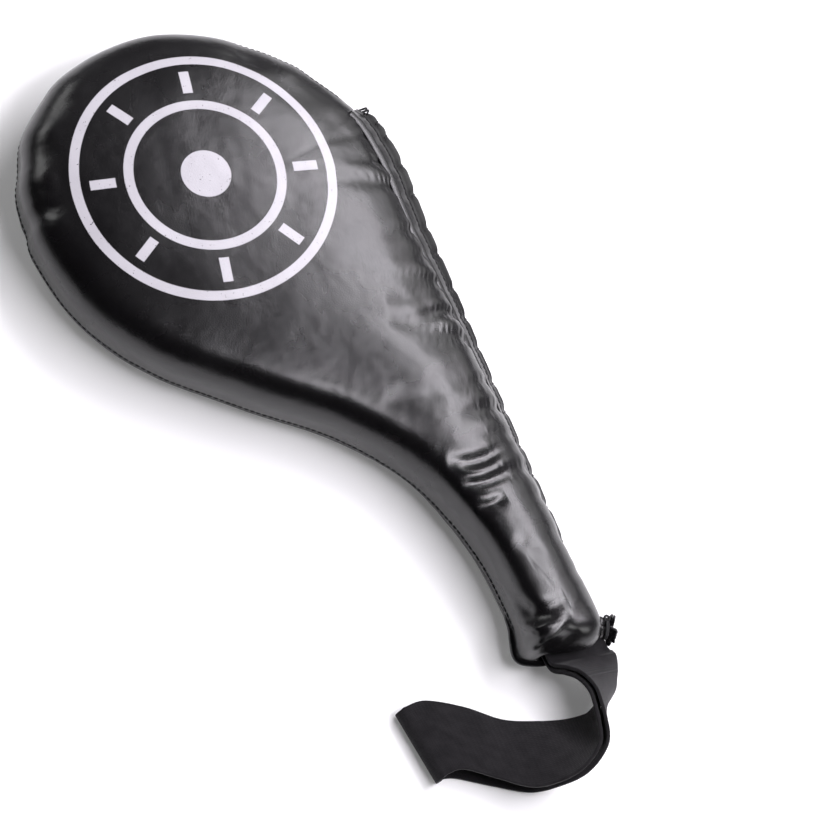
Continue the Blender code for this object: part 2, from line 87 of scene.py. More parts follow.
STRAP_WIDTH = 38 * MM
STRAP_THICKNESS = 1.8 * MM
STRAP_LAYER_GAP = 1.8 * MM
STRAP_ROOT_WIDTH = 32 * MM
NEAR_STRAP_MM = [
    ((-30, -302.5, 23.5), (1, -313.5, 20.5)),
    ((-26, -308.5, 27), (3.5, -318, 14.5)),
    ((-24.5, -314.5, 31), (3, -323.5, 9)),
    ((-25.5, -322, 34), (-1, -329, 6)),
    ((-29, -329, 36), (-7, -333.5, 4.5)),
]
NEAR_WIDTHS_MM = (33, 36, 38, 38, 38)
FAR_STRAP_MM = [
    ((-38, -343, 36), (-22, -336, 4.5)),
    ((-46, -348, 35), (-29, -334, 4)),
    ((-57, -350, 30), (-39, -328, 4)),
    ((-68, -346.5, 23), (-51, -318.5, 4)),
]
OPEN_UPPER_MM = [
    ((-78.5, -338, 17.5), (-63, -306, 6)),
    ((-88, -323.5, 14), (-74, -288, 8.2)),
    ((-97, -309.5, 13), (-87, -272.5, 8.8)),
    ((-104, -305.5, 12), (-97, -268, 8.6)),
]
OPEN_LOWER_MM = [
    ((-76, -340.5, 6), (-61, -307.5, 2)),
    ((-88.5, -327, 2.2), (-74, -289, 1.3)),
    ((-99, -313, 1.3), (-87, -273.5, 1.2)),
    ((-104, -307, 1.3), (-97, -268.5, 1.2)),
]
LOOP_END_REACH = 3.9 * MM
LOOP_END_GAP = 0.8 * MM
LOOP_END_AWAY = np.array((-0.985, 0.17, 0))
LOOP_END_STEPS = 6
ROOT_DEPTHS = (22 * MM, 9 * MM)
ROOT_RISE = 2.7 * MM
CUT = 4.5  # where a root meets the loop, in pairs from the start: between the two flex lines

TAIL_BASE = np.array(Vector((4.6, -306.2, 25)) * MM)
TAIL_AXIS = Vector((0.68, -0.73, 0.05)).normalized()
TAIL_SIDE = TAIL_AXIS.cross(Vector((0, 0, 1))).normalized()
TAIL_FRAME = np.array([TAIL_SIDE, TAIL_SIDE.cross(TAIL_AXIS), TAIL_AXIS])


# ---- camera, lights and floor ----

CAMERA_LENS_MM = 94.6
CAMERA_SENSOR_MM = 36
CAMERA_AT = Vector((-0.47041, -0.23587, 1.04069))
CAMERA_RIGHT = Vector((0.68748, -0.67256, 0.27392))
CAMERA_UP = Vector((0.58886, 0.73702, 0.33172))
CAMERA_BACK = Vector((-0.42499, -0.06675, 0.90273))
WHITE = (1, 1, 1)
LILAC = (0.97, 0.94, 1.0)
LIGHTS = [  # name, size, place, the point it is aimed at, watts, colour
    ("softbox", (1.0, 0.38), (0.67, -0.12, 1.0), (0.12, 0.085, 0.03), 13.5, LILAC),
    ("handle_softbox", (0.56, 0.28), (0.10, -0.48, 0.97), (0.10, -0.27, 0.04), 7.5, LILAC),
    ("side_softbox", (1.6, 0.7), (1.5, 0.05, 0.95), (0, 0, 0.04), 5.5, WHITE),
    ("far_rim", (1.0, 0.5), (-0.1, 1.3, 0.75), (0, 0, 0.03), 4.5, WHITE),
    ("near_rim", (0.6, 0.3), (0.0, -1.3, 0.6), (0, -0.25, 0.03), 2.5, WHITE),
]
SKY_STRENGTH = 0.4
FLOOR_SIZE = 12
FLOOR_DROP = 0.4 * MM  # keeps the floor clear of the pieces that lie on it


def add_camera():
    """The photograph's view: from above and the paddle's left, looking across it."""
    data = bpy.data.cameras.new("camera")
    data.sensor_width = CAMERA_SENSOR_MM
    data.lens = CAMERA_LENS_MM
    camera = bpy.data.objects.new("camera", data)
    camera.matrix_world = Matrix((CAMERA_RIGHT, CAMERA_UP, CAMERA_BACK)).transposed().to_4x4()
    camera.location = CAMERA_AT
    bpy.context.scene.collection.objects.link(camera)
    bpy.context.scene.camera = camera


def add_light(name, size, location, aim, power, colour):
    """One rectangular softbox, aimed at a point."""
    data = bpy.data.lights.new(name, "AREA")
    data.color = colour
    data.shape = "RECTANGLE"
    data.size, data.size_y = size
    data.energy = power
    light = bpy.data.objects.new(name, data)
    light.location = location
    light.rotation_euler = (Vector(aim) - Vector(location)).to_track_quat("-Z", "Y").to_euler()
    bpy.context.scene.collection.objects.link(light)


def add_floor():
    """White paper that glows a little, so that it stays as pale as the photograph's background."""
    bpy.ops.mesh.primitive_plane_add(size=FLOOR_SIZE, location=(0, 0, -FLOOR_DROP))
    floor = bpy.context.object
    floor.name = "floor"
    paper = Nodes(bpy.data.materials.new("floor_paper"))
    floor.data.materials.append(paper.set("Principled BSDF", {
        "Base Color": (0.86, 0.86, 0.86, 1), "Emission Color": (1, 1, 1, 1), "Emission Strength": 0.14,
        "Roughness": 0.95, "Specular IOR Level": 0.1}))


def add_world():
    """A studio whose sky is bright on the +X side and dark on the camera's side."""
    nodes = Nodes(bpy.data.worlds.new("studio"))
    direction = nodes.add("SeparateXYZ", {0: nodes.add("TexCoord").outputs["Generated"]})
    share = nodes.remap(direction.outputs["X"], -1.0, 1.0)
    sky = nodes.ramp(share, (0.46, (0.02, 0.02, 0.022)), (0.95, (0.8, 0.78, 0.84)))
    bpy.context.scene.world = nodes.set("Background", {"Color": sky, "Strength": SKY_STRENGTH})


# ---- plan curves ----

def smooth_step(value):
    """0 below 0, 1 above 1, and a smooth rise between."""
    value = np.clip(value, 0, 1)
    return value * value * (3 - 2 * value)


def bell(distance, width):
    """1 at no distance, falling smoothly to almost 0 at twice the width."""
    return np.exp(-(distance / width) ** 2)


def catmull(points, steps, closed):
    """Points on the Catmull-Rom curve through the rows of an array, steps to each stretch."""
    points = np.asarray(points, float)
    count = len(points)
    spans = count if closed else count - 1
    result = []
    for i in range(spans):
        picks = []
        for offset in (-1, 0, 1, 2):
            index = i + offset
            picks.append(points[index % count if closed else min(max(index, 0), count - 1)])
        a, b, c, d = picks
        for k in range(steps):
            t = k / steps
            result.append(0.5 * (2 * b + (c - a) * t + (2 * a - 5 * b + 4 * c - d) * t ** 2
                                 + (3 * b - a - 3 * c + d) * t ** 3))
    if not closed:
        result.append(points[-1])
    return np.array(result)


FINE = catmull(np.array(OUTLINE_MM) * MM, 40, True)
FINE_LOOP = np.vstack([FINE, FINE[:1]])
FINE_WALK = np.concatenate([[0], np.cumsum(np.linalg.norm(np.diff(FINE_LOOP, axis=0), axis=1))])
PERIMETER = FINE_WALK[-1]


def outline_at(shares):
    """Plan points at shares of the outline's length, anticlockwise from the top of the head."""
    walk = np.mod(np.asarray(shares, float), 1.0) * PERIMETER
    return np.stack([np.interp(walk, FINE_WALK, FINE_LOOP[:, axis]) for axis in (0, 1)], axis=-1)


def outline_frames(shares):
    """Plan points and outward directions at shares of the outline."""
    shares = np.asarray(shares, float)
    step = 1.2 * MM / PERIMETER
    tangents = outline_at(shares + step) - outline_at(shares - step)
    tangents /= np.linalg.norm(tangents, axis=-1, keepdims=True)
    return outline_at(shares), np.stack([tangents[..., 1], -tangents[..., 0]], axis=-1)


def spine_near(points):
    """The middle line's points level with plan points."""
    spine = np.array(SPINE_MM[::-1]) * MM
    y = np.clip(points[..., 1], spine[0, 1], spine[-1, 1])
    return np.stack([np.interp(y, spine[:, 1], spine[:, 0]), y], axis=-1)


def moved_in(points, depth):
    """Plan points moved towards the middle line by a depth."""
    inward = spine_near(points) - points
    inward /= np.linalg.norm(inward, axis=-1, keepdims=True)
    return points + inward * np.asarray(depth)[..., None]


def seam_height(points):
    """Height of the seam between the two panels at plan points on the outline."""
    middle = spine_near(points)
    reach = np.linalg.norm(points - middle, axis=-1)
    across = (points[..., 0] - middle[..., 0]) / reach * np.minimum(1.0, reach / SEAM_FULL_REACH)
    down = smooth_step((SEAM_TOP_Y - points[..., 1]) / (SEAM_TOP_Y - SEAM_LOW_Y))
    fall = 1 + (SEAM_LOW_SHARE - 1) * down
    return SEAM_MIDDLE + SEAM_RISE * np.where(across > 0, across * fall, across)


def edge_inset(z):
    """How far the rounded edge stands back from the outline at height z."""
    over = np.abs(z - THICKNESS / 2) - (THICKNESS / 2 - EDGE_RADIUS)
    over = np.clip(over, 0, EDGE_RADIUS)
    return EDGE_RADIUS - np.sqrt(EDGE_RADIUS ** 2 - over ** 2)


def at_height(flat, z):
    """Plan points given their heights."""
    return np.concatenate([flat, np.asarray(z)[..., None]], axis=-1)


def surface_points(shares, z, clear):
    """Points outside the cover at heights z, clear of it by a distance."""
    points, outward = outline_frames(shares)
    return at_height(moved_in(points, edge_inset(z)) + outward * np.asarray(clear)[..., None], z)


# ---- meshes ----

def new_object(name, points, faces):
    mesh = bpy.data.meshes.new(name)
    mesh.from_pydata([tuple(p) for p in points], [], [tuple(f) for f in faces])
    mesh.update()
    mesh.shade_smooth()
    piece = bpy.data.objects.new(name, mesh)
    bpy.context.scene.collection.objects.link(piece)
    return piece


def read_vectors(items, key):
    values = np.empty(len(items) * 3)
    items.foreach_get(key, values)
    return values.reshape(-1, 3)


def write_points(mesh, points):
    mesh.vertices.foreach_set("co", np.ascontiguousarray(points, float).ravel())
    mesh.update()


def bake_modifiers(piece):
    """Replace the piece's mesh by its evaluated one and drop the modifiers."""
    graph = bpy.context.evaluated_depsgraph_get()
    mesh = bpy.data.meshes.new_from_object(piece.evaluated_get(graph))
    old = piece.data
    piece.modifiers.clear()
    piece.data = mesh
    bpy.data.meshes.remove(old)


def loft_faces(rows, count):
    """Faces round a loft of rows with count points each, with a cap at both ends."""
    faces = []
    for i in range(rows - 1):
        for j in range(count):
            k = (j + 1) % count
            faces.append((i * count + j, i * count + k, (i + 1) * count + k, (i + 1) * count + j))
    faces.append(tuple(range(count))[::-1])
    faces.append(tuple((rows - 1) * count + j for j in range(count)))
    return faces


def dress(piece, material, slot, *nodes):
    """Give a piece of the pad its look, put it on the pad's body, and hide the CAD nodes it stands for."""
    piece.data.materials.append(material)
    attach(piece, "pad")
    if nodes:
        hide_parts(*nodes)


def subdivide(piece, levels):
    smoother = piece.modifiers.new("smooth", "SUBSURF")
    smoother.levels = levels
    smoother.render_levels = levels
    bake_modifiers(piece)
    piece.data.shade_smooth()


# ---- padded body ----

ACROSS = 24  # cage faces across the end of the handle, and across the head
ALONG = 84  # cage faces along each side
FRONT_ROWS = 9
BACK_ROWS = 9
# Where the cage's four corners are, in shares of the outline
HEAD_LEFT = 0.085
HANDLE_LEFT = 0.468
HANDLE_RIGHT = 0.532
HEAD_RIGHT = 0.915
TOP_FADE = 4.5  # how fast the bow of the head's end dies out down the face
BOTTOM_FADE = 18  # and the bow of the handle's end, up the handle
SIDE_QUARTER = EDGE_RADIUS * math.pi / 2
SIDE_STRAIGHT = THICKNESS - 2 * EDGE_RADIUS

SWELL_FRAMES = 18
SWELL_CAP = 2.5 * MM
CLOTH = {
    "quality": 6, "mass": 0.25, "tension_stiffness": 25, "compression_stiffness": 25,
    "shear_stiffness": 12, "bending_stiffness": 2.5, "vertex_group_mass": "seam",
    "use_pressure": True, "uniform_pressure_force": 3.0,
}

FACE_SINK = 1 * MM  # the face's rim lies this far under the CAD's face
HEAD_CROWN = 4.4 * MM
HANDLE_CROWN = 1.3 * MM
CROWN_FALL_Y = -60 * MM
CROWN_FALL = 130 * MM
OVAL_START_Y = -145 * MM
OVAL_RUN = 60 * MM
OVAL_END_Y = -304 * MM
OVAL_END_RUN = 16 * MM
OVAL_POWER = 2.9
OVAL_LEAN = 0.2
OVAL_LEAN_TOP = 42 * MM  # the section leans fully towards -X from this height up

# Folds of the front panel: line in millimetres, half-width, height (below 0 is a valley)
FOLDS = [
    ([(-6, -190, 45), (2, -198, 46), (14, -203, 46), (33, -204, 38)], 4.2, -2.2),
    ([(-6, -199, 45), (8, -207, 46), (24, -210, 43)], 3.4, 0.7),
    ([(-9, -204, 43), (1, -211, 46), (17, -216, 44)], 3.3, -1.7),
    ([(-11, -217, 42), (-4, -222, 46), (5, -224, 46)], 3.3, -1.4),
    ([(-10, -242, 45), (-5, -250, 46), (-2, -260, 46)], 5.0, -0.7),
    ([(-25, -265, 33), (-26, -273, 39), (-22, -279, 45), (-9, -283, 46)], 4.8, -2.4),
    ([(-26, -269, 13), (-30, -278, 33), (-28, -284, 43), (-13, -288, 46)], 2.6, 2.2),
    ([(-36, -289, 22), (-33, -289, 40), (-27, -290.5, 45), (-13, -289.5, 46)], 2.6, 2.3),
    ([(-32, -296, 34), (-25, -298, 41), (-14, -297, 45)], 4.0, -1.5),
    ([(27, -108, 51), (41, -115, 49), (62, -121, 42)], 5.5, -1.4),
    ([(20, -117, 50), (36, -127, 49), (58, -133, 41)], 5.5, -1.7),
    ([(22, -139, 50), (38, -146, 47), (50, -149, 42)], 5.0, -1.0),
    ([(-9, -144, 47), (3, -156, 48), (16, -168, 49)], 6.5, -0.7),
]
FOLD_OVERRUN = 0.05
FOLD_TAPER = 0.45
CLOSE_STITCHES = (0.004, 0.013, 0.022)  # the first hand stitches, in shares from the lip's start
HAND_STITCH_SHIFT_MM = 2
PUCKER_REACH_MM = (16, 44)
PUCKER_SLANT = (-0.15, 0.35)
PUCKER_DEPTH_MM = (0.7, 1.6)
PUCKER_WIDTH_MM = (1.5, 2.6)
PUCKER_SPREAD = 22 * MM  # a pucker is twice as wide this far from the seam
LUMPS_MM = [(0.45, 16), (0.22, 55), (0.07, 190)]  # height, and how fine the noise is
# The edge's few flats and corners: share of the outline, half-width and height in millimetres
EDGE_DENTS = [
    (0.020, 9, 0.5), (0.040, 10, -0.7), (0.058, 7, 0.7), (0.074, 7, -0.6), (0.088, 7, 0.7),
    (0.108, 5, -0.8), (0.118, 5, 0.5), (0.905, 10, -0.8), (0.960, 12, 0.6), (0.875, 8, 0.9),
]
SEAM_GROOVE = 1.5 * MM
THREAD_GROOVE = 0.45 * MM
GROOVE_WIDTH = 0.9 * MM
GROOVE_REACH = 8 * MM
MOUTH_DENT = 9 * MM
MOUTH_DENT_BACK = 10 * MM
MOUTH_HALF_WIDTH = 21 * MM
MOUTH_HALF_HEIGHT = 8 * MM


def ring_shares():
    """Shares of the outline round the body: left side, handle end, right side, head."""
    stretches = [
        (HEAD_LEFT, HANDLE_LEFT, ALONG), (HANDLE_LEFT, HANDLE_RIGHT, ACROSS),
        (HANDLE_RIGHT, HEAD_RIGHT, ALONG), (HEAD_RIGHT, 1 + HEAD_LEFT, ACROSS),
    ]
    shares = []
    for start, end, count in stretches:
        shares.extend(start + (end - start) * k / count for k in range(count))
    return np.array(shares)


def profile(walk):
    """Height and inset of the rounded side at a distance from the striking face's edge."""
    top = np.clip(walk / EDGE_RADIUS, 0, math.pi / 2)
    low = np.clip((walk - SIDE_QUARTER - SIDE_STRAIGHT) / EDGE_RADIUS, 0, math.pi / 2)
    middle = np.clip(walk - SIDE_QUARTER, 0, SIDE_STRAIGHT)
    z = THICKNESS - EDGE_RADIUS + EDGE_RADIUS * np.cos(top) - middle - EDGE_RADIUS * np.sin(low)
    inset = EDGE_RADIUS * (1 - np.sin(top)) + EDGE_RADIUS * (1 - np.cos(low))
    return z, inset


def walk_to_height(z):
    """Distance along the side from the striking face's edge down to height z."""
    top = EDGE_RADIUS * np.arccos(np.clip((z - THICKNESS + EDGE_RADIUS) / EDGE_RADIUS, 0, 1))
    low = EDGE_RADIUS * np.arcsin(np.clip((EDGE_RADIUS - z) / EDGE_RADIUS, 0, 1))
    middle = SIDE_QUARTER + np.clip(THICKNESS - EDGE_RADIUS - z, 0, SIDE_STRAIGHT)
    return np.where(z > THICKNESS - EDGE_RADIUS, top, middle + low)


def coons(ring, across, along):
    """Inner grid points spanned by a closed ring of plan points, as an (along+1, across+1) grid."""
    left = ring[:along + 1]
    bottom = ring[along:along + across + 1]
    right = ring[along + across:2 * along + across + 1][::-1]
    top = np.vstack([ring[2 * along + across:], ring[:1]])[::-1]
    u = np.linspace(0, 1, across + 1)[None, :, None]
    v = np.linspace(0, 1, along + 1)[:, None, None]
    ruled = (1 - u) * left[:, None] + u * right[:, None]
    top_bow = top[None] - (1 - u) * left[0] - u * right[0]
    bottom_bow = bottom[None] - (1 - u) * left[-1] - u * right[-1]
    return ruled + (1 - v) ** TOP_FADE * top_bow + v ** BOTTOM_FADE * bottom_bow


def body_cage():
    """The closed cage of the padded body: two gridded faces joined by rows round the side."""
    shares = ring_shares()
    outline = outline_at(shares)
    seam = walk_to_height(seam_height(outline))
    whole = EDGE_RADIUS * math.pi + SIDE_STRAIGHT
    rows = []
    for k in range(FRONT_ROWS + BACK_ROWS + 1):
        if k <= FRONT_ROWS:
            walk = seam * (k / FRONT_ROWS)
        else:
            walk = seam + (whole - seam) * ((k - FRONT_ROWS) / BACK_ROWS)
        z, inset = profile(walk)
        rows.append(at_height(moved_in(outline, inset), z))
    count = len(shares)
    points = [np.concatenate(rows)]
    faces = []
    for k in range(len(rows) - 1):
        for i in range(count):
            j = (i + 1) % count
            faces.append((k * count + i, (k + 1) * count + i, (k + 1) * count + j, k * count + j))
    for row, z, flip in ((0, THICKNESS, False), (len(rows) - 1, 0.0, True)):
        grid = coons(rows[row][:, :2], ACROSS, ALONG)
        index = np.full((ALONG + 1, ACROSS + 1), -1)
        base = row * count
        index[:, 0] = base + np.arange(ALONG + 1)
        index[ALONG, :] = base + ALONG + np.arange(ACROSS + 1)
        index[:, ACROSS] = base + (ALONG + ACROSS + np.arange(ALONG + 1))[::-1]
        index[0, :] = base + np.mod(2 * ALONG + ACROSS + np.arange(ACROSS + 1), count)[::-1]
        start = sum(len(block) for block in points)
        inner = grid[1:-1, 1:-1].reshape(-1, 2)
        index[1:-1, 1:-1] = start + np.arange(len(inner)).reshape(ALONG - 1, ACROSS - 1)
        points.append(at_height(inner, np.full(len(inner), z)))
        for i in range(ALONG):
            for j in range(ACROSS):
                quad = (index[i, j], index[i + 1, j], index[i + 1, j + 1], index[i, j + 1])
                faces.append(tuple(int(v) for v in (quad[::-1] if flip else quad)))
    return new_object("padded_cover", np.concatenate(points), faces)


def nearest_on_outline(points):
    """Share of the outline and plan distance to it, for each point."""
    tree = KDTree(len(FINE))
    for index, point in enumerate(FINE):
        tree.insert((*point, 0), index)
    tree.balance()
    found = [tree.find((point[0], point[1], 0)) for point in points]
    walks = np.array([FINE_WALK[index] for _, index, _ in found])
    return walks / PERIMETER, np.array([gap for _, _, gap in found])


def evened(mesh, values, rounds=5):
    """Values at the vertices, averaged with their neighbours a few times."""
    edges = np.empty(len(mesh.edges) * 2, int)
    mesh.edges.foreach_get("vertices", edges)
    first, second = edges.reshape(-1, 2).T
    count = np.bincount(edges, minlength=len(values))[:, None]
    for _ in range(rounds):
        total = np.zeros_like(values)
        np.add.at(total, first, values[second])
        np.add.at(total, second, values[first])
        values = (values + total / count) / 2
    return values


def swell(piece):
    """Blow the cage up a little as cloth held at its seam, and keep the result on the mesh."""
    rest = read_vectors(piece.data.vertices, "co")
    pins = piece.vertex_groups.new(name="seam")
    count = 2 * (ACROSS + ALONG)
    seam_rows = range((FRONT_ROWS - 1) * count, (FRONT_ROWS + 2) * count)
    pins.add(list(seam_rows), 1.0, "REPLACE")
    cloth = piece.modifiers.new("cloth", "CLOTH")
    for setting, value in CLOTH.items():
        setattr(cloth.settings, setting, value)
    cloth.settings.effector_weights.gravity = 0
    cloth.collision_settings.use_collision = False
    scene = bpy.context.scene
    for step in range(1, SWELL_FRAMES + 1):
        scene.frame_set(step)
    bake_modifiers(piece)
    scene.frame_set(1)
    moved = read_vectors(piece.data.vertices, "co") - rest
    length = np.maximum(np.linalg.norm(moved, axis=1, keepdims=True), 1e-9)
    moved *= SWELL_CAP * np.tanh(length / SWELL_CAP) / length
    write_points(piece.data, rest + evened(piece.data, moved))


def line_distance(points, line_mm, steps=10):
    """Distance of each point to a smooth line, and how far along the line it is, 0 to 1."""
    line = catmull(np.array(line_mm, float) * MM, steps, False)
    best = np.full(len(points), 1e9)
    along = np.zeros(len(points))
    spans = len(line) - 1
    for k, (a, b) in enumerate(zip(line, line[1:])):
        run = b - a
        t = np.clip(((points - a) @ run) / (run @ run), 0, 1)
        gap = np.linalg.norm(points - (a + t[:, None] * run), axis=1)
        closer = gap < best
        best[closer] = gap[closer]
        along[closer] = (k + t[closer]) / spans
    return best, along


def folds(points, front):
    """Height of the front panel's folds at each point."""
    height = np.zeros(len(points))
    for line, half_width, rise in FOLDS:
        gap, along = line_distance(points, line)
        ends = smooth_step((along + FOLD_OVERRUN) / FOLD_TAPER)
        ends = ends * smooth_step((1 + FOLD_OVERRUN - along) / FOLD_TAPER)
        height += rise * MM * ends * bell(gap, half_width * MM)
    return height * front


def hand_stitch_shares():
    """Where the hand thread crosses the lip; the first three stand close together."""
    run = (LIP_START - LIP_END) * PERIMETER
    shares = [LIP_START - share for share in CLOSE_STITCHES]
    walk = CLOSE_STITCHES[-1] * PERIMETER + HAND_STITCH_PITCH
    spread = random.Random(7)
    while walk < run - HAND_STITCH_PITCH / 3:
        shift = spread.uniform(-HAND_STITCH_SHIFT_MM, HAND_STITCH_SHIFT_MM) * MM
        shares.append(LIP_START - (walk + shift) / PERIMETER)
        walk += HAND_STITCH_PITCH
    return shares


def puckers(shares, depth_in):
    """Short valleys, each with a low ridge beside it, that run in from the hand stitches."""
    height = np.zeros(len(shares))
    spread = random.Random(11)
    for share in hand_stitch_shares():
        reach = spread.uniform(*PUCKER_REACH_MM) * MM
        slant = spread.uniform(*PUCKER_SLANT)
        depth = spread.uniform(*PUCKER_DEPTH_MM) * MM
        width = spread.uniform(*PUCKER_WIDTH_MM) * MM * (1 + depth_in / PUCKER_SPREAD)
        side = (shares - share) * PERIMETER - slant * depth_in
        fade = bell(depth_in, reach)
        height -= depth * bell(side, width) * fade
        height += 0.4 * depth * bell(side - 2.1 * width, width) * fade
    return height


def unevenness(points):
    """Soft lumps of the stuffing."""
    lumps = [sum(height * noise.noise(Vector(point) * fineness) for height, fineness in LUMPS_MM)
             for point in points]
    return np.array(lumps) * MM


def edge_dents(shares):
    """The edge's few flats and corners round the top and left of the head."""
    result = np.zeros(len(shares))
    for centre, half_width, rise in EDGE_DENTS:
        gap = (np.mod(shares - centre + 0.5, 1) - 0.5) * PERIMETER
        result += rise * MM * bell(gap, half_width * MM)
    return result


def oval_handle(points, gaps):
    """Points drawn in, so that the handle's section is an oval that leans, not a rounded box."""
    middle = spine_near(points)
    reach = np.linalg.norm(points[:, :2] - middle, axis=1)
    wide = reach / (reach + gaps)
    tall = np.abs(points[:, 2] - THICKNESS / 2) / (THICKNESS / 2)
    size = (wide ** OVAL_POWER + tall ** OVAL_POWER) ** (1 / OVAL_POWER)
    weight = smooth_step((OVAL_START_Y - points[:, 1]) / OVAL_RUN)
    weight *= smooth_step((points[:, 1] - OVAL_END_Y) / OVAL_END_RUN)
    scale = 1 + weight * (1 / np.maximum(size, 1) - 1)
    drawn = points.copy()
    drawn[:, :2] = middle + (points[:, :2] - middle) * scale[:, None]
    lean = OVAL_LEAN * (reach + gaps) * np.maximum(1 - wide ** 2, 0) * weight
    drawn[:, 0] -= lean * smooth_step((points[:, 2] - THICKNESS / 2) / (OVAL_LEAN_TOP - THICKNESS / 2))
    drawn[:, 2] = THICKNESS / 2 + (points[:, 2] - THICKNESS / 2) * scale
    return drawn


def mouth_dent(points):
    """Depth of the slot where the webbing leaves the handle, at each point."""
    offset = points - MOUTH_CENTRE
    across = np.abs(offset @ MOUTH_ACROSS)
    height = np.abs(offset[:, 2])
    near = smooth_step((offset @ MOUTH_ALONG + MOUTH_DENT_BACK) / (6 * MM))
    slot = smooth_step((MOUTH_HALF_WIDTH - across) / (5 * MM))
    return MOUTH_DENT * slot * smooth_step((MOUTH_HALF_HEIGHT - height) / (4.5 * MM)) * near


def shape_body(piece):
    """Crown, lumps, folds, puckers, the seam's groove and the mouth, on the fine mesh."""
    points = read_vectors(piece.data.vertices, "co")
    normals = read_vectors(piece.data.vertex_normals, "vector")
    shares, gaps = nearest_on_outline(points)
    above = points[:, 2] - seam_height(outline_at(shares))
    front = smooth_step((normals[:, 2] + 0.15) / 0.5) * (above > -1 * MM)
    middle = spine_near(points)
    reach = np.linalg.norm(points[:, :2] - middle, axis=1)
    fall = smooth_step((CROWN_FALL_Y - points[:, 1]) / CROWN_FALL)
    crown = (HEAD_CROWN + (HANDLE_CROWN - HEAD_CROWN) * fall) * (1 - (reach / (reach + gaps)) ** 2)
    lift = (crown - FACE_SINK) * np.clip(normals[:, 2], 0, 1) * (points[:, 2] > THICKNESS / 2)
    drawn = oval_handle(points, gaps)
    lift += folds(drawn, front)
    on_lip = smooth_step((shares - LIP_END + 0.01) / 0.02) * smooth_step((LIP_START + 0.01 - shares) / 0.02)
    across = (points[:, 0] - middle[:, 0]) / (reach + gaps)
    on_lip *= smooth_step(across / 0.5) * smooth_step((normals[:, 2] + 0.6) / 0.8)
    lift += puckers(shares, np.hypot(above, gaps)) * on_lip
    lift += edge_dents(shares) * (1 - smooth_step((gaps - 10 * MM) / (10 * MM)))
    lift += unevenness(points)
    near = gaps < GROOVE_REACH
    lift -= SEAM_GROOVE * bell(above, GROOVE_WIDTH) * near
    stitched = np.mod(shares - SIDE_THREAD_START, 1) < SIDE_THREAD_END - SIDE_THREAD_START
    lift -= THREAD_GROOVE * bell(above - SIDE_THREAD_RISE, GROOVE_WIDTH) * near * stitched
    moved = drawn + normals * lift[:, None]
    moved -= MOUTH_ALONG * mouth_dent(points)[:, None]
    moved[:, 2] = np.maximum(moved[:, 2], 0.0)
    write_points(piece.data, moved)


def make_body():
    body = body_cage()
    swell(body)
    subdivide(body, 2)
    shape_body(body)
    dress(body, leather("cover_leather", printed=True), "cover_leather", "front_cover", "back_cover",
          "front_foam", "back_foam", "grip_foam_front", "grip_foam_back")
    return body


# ---- slabs, threads and stitches ----

def grid_normals(grid):
    along = np.gradient(grid, axis=0)
    across = np.gradient(grid, axis=1)
    normals = np.cross(across, along)
    return normals / np.maximum(np.linalg.norm(normals, axis=2, keepdims=True), 1e-12)


# The rounded edge of a slab: how far out and up, in half-thicknesses
SLAB_EDGE = [(0.55, 0.995), (0.88, 0.72), (0.88, -0.72), (0.55, -0.995)]


def slab(name, grid, thickness, uv_size=None):
    """A closed sheet of even thickness about a grid of points, with rounded long edges."""
    rows, cols = grid.shape[:2]
    half = thickness / 2
    up = grid_normals(grid) * half
    across = np.gradient(grid, axis=1)
    across *= half / np.maximum(np.linalg.norm(across, axis=2, keepdims=True), 1e-12)
    ring = [grid[:, column] + up[:, column] for column in range(cols)]
    ring += [grid[:, -1] + across[:, -1] * out + up[:, -1] * rise for out, rise in SLAB_EDGE]
    ring += [grid[:, column] - up[:, column] for column in reversed(range(cols))]
    ring += [grid[:, 0] - across[:, 0] * out - up[:, 0] * rise for out, rise in SLAB_EDGE]
    piece = new_object(name, np.stack(ring, axis=1).reshape(-1, 3), loft_faces(rows, len(ring)))
    if uv_size:
        add_band_uv(piece, rows, cols, len(ring), uv_size)
    return piece


def add_band_uv(piece, rows, cols, count, uv_size):
    """UVs in metres along and across a band, the same on both of its faces."""
    width, length = uv_size
    across = [*np.linspace(0, width, cols)] + [width] * len(SLAB_EDGE)
    across += [*np.linspace(width, 0, cols)] + [0.0] * len(SLAB_EDGE)
    layer = piece.data.uv_layers.new(name="band")
    for polygon in piece.data.polygons:
        for loop in polygon.loop_indices:
            vertex = piece.data.loops[loop].vertex_index
            layer.data[loop].uv = (across[vertex % count], length * (vertex // count) / (rows - 1))


def tube(points, radius, sides=8, taper=0.0):
    """Points and faces of a closed tube along a path, thinner at its ends by the taper."""
    points = np.asarray(points, float)
    tangents = np.gradient(points, axis=0)
    tangents /= np.linalg.norm(tangents, axis=1, keepdims=True)
    up = np.array((0.0, 0.0, 1.0))
    if abs(tangents[0] @ up) > 0.9:
        up = np.array((1.0, 0.0, 0.0))
    turns = 2 * math.pi * np.arange(sides) / sides
    verts = []
    count = len(points)
    for i, (point, tangent) in enumerate(zip(points, tangents)):
        side = np.cross(tangent, up)
        side /= np.linalg.norm(side)
        up = np.cross(side, tangent)
        here = radius * (1 - taper * (2 * i / (count - 1) - 1) ** 4)
        verts.extend(point + (np.outer(np.cos(turns), side) + np.outer(np.sin(turns), up)) * here)
    return verts, loft_faces(count, sides)


def joined(name, bits):
    """One object from several (points, faces) bits."""
    points = []
    faces = []
    for bit_points, bit_faces in bits:
        base = len(points)
        points.extend(bit_points)
        faces.extend(tuple(base + v for v in face) for face in bit_faces)
    return new_object(name, points, faces)


